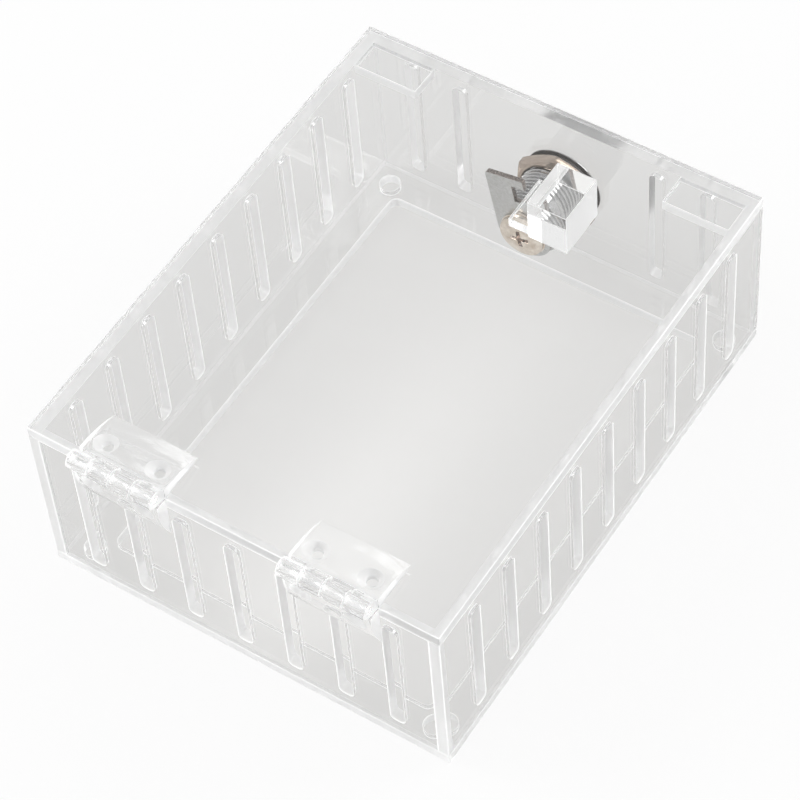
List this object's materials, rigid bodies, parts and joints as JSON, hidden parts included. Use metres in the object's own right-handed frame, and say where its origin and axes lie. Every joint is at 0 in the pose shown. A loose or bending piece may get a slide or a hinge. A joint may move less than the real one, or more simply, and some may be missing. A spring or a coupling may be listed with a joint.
{
  "type": "thermostat lock box",
  "caption": "Clear acrylic guard box for a wall thermostat, with slotted walls, a hinged lid and a key cam lock whose hook holds a keeper under the lid.",
  "frame": {"origin": "centre of the base plate's back face, in the middle of the four wall-screw holes", "axes": "+Z away from the wall, through the lid; +Y from the hinge end to the lock end; +X along the short side"},
  "size_m": [0.1164, 0.1579, 0.0607],
  "materials": {
    "clear_acrylic": "clear cast sheet, polished faces",
    "keeper_acrylic": "clear sheet with white sawn sides",
    "clear_moulding": "clear moulded plastic",
    "dark_chrome": "darkened bright plate",
    "nut_nickel": "dull nickel plate",
    "cam_zinc": "grey zinc plate",
    "screw_nickel": "warm nickel plate",
    "plug_metal": "bright plate",
    "wafer_brass": "bare",
    "spring_wire": "bright wire"
  },
  "bodies": {
    "box": {"base_plate": "clear_acrylic", "hinge_wall": "clear_acrylic", "lock_wall": "clear_acrylic", "side_wall_left": "clear_acrylic", "side_wall_right": "clear_acrylic", "corner_stop_left": "clear_acrylic", "corner_stop_right": "clear_acrylic", "hinge_left_body_leaf": "clear_moulding", "hinge_right_body_leaf": "clear_moulding", "hinge_left_pin": "clear_moulding", "hinge_right_pin": "clear_moulding", "lock_housing": "dark_chrome", "lock_nut": "nut_nickel"},
    "lid": {"lid_panel": "clear_acrylic", "keeper_block": "keeper_acrylic", "keeper_tongue": "clear_acrylic", "hinge_left_lid_leaf": "clear_moulding", "hinge_right_lid_leaf": "clear_moulding"},
    "lock_core": {"lock_plug": "plug_metal", "wafer_tumblers": "wafer_brass", "wafer_springs": "spring_wire", "stop_washer": "cam_zinc", "cam": "cam_zinc", "cam_washer": "screw_nickel", "cam_screw": "screw_nickel"}
  },
  "joints": [
    {"name": "lid_hinge", "type": "hinge", "parent": "box", "child": "lid", "pos_m": [0, -0.0782, 0.0582], "axis": [1, 0, 0], "range_deg": [0, 180]},
    {"name": "lock_turn", "type": "hinge", "parent": "box", "child": "lock_core", "pos_m": [0.001, 0.054, 0.0275], "axis": [0, -1, 0], "range_deg": [-10, 80]}
  ]
}
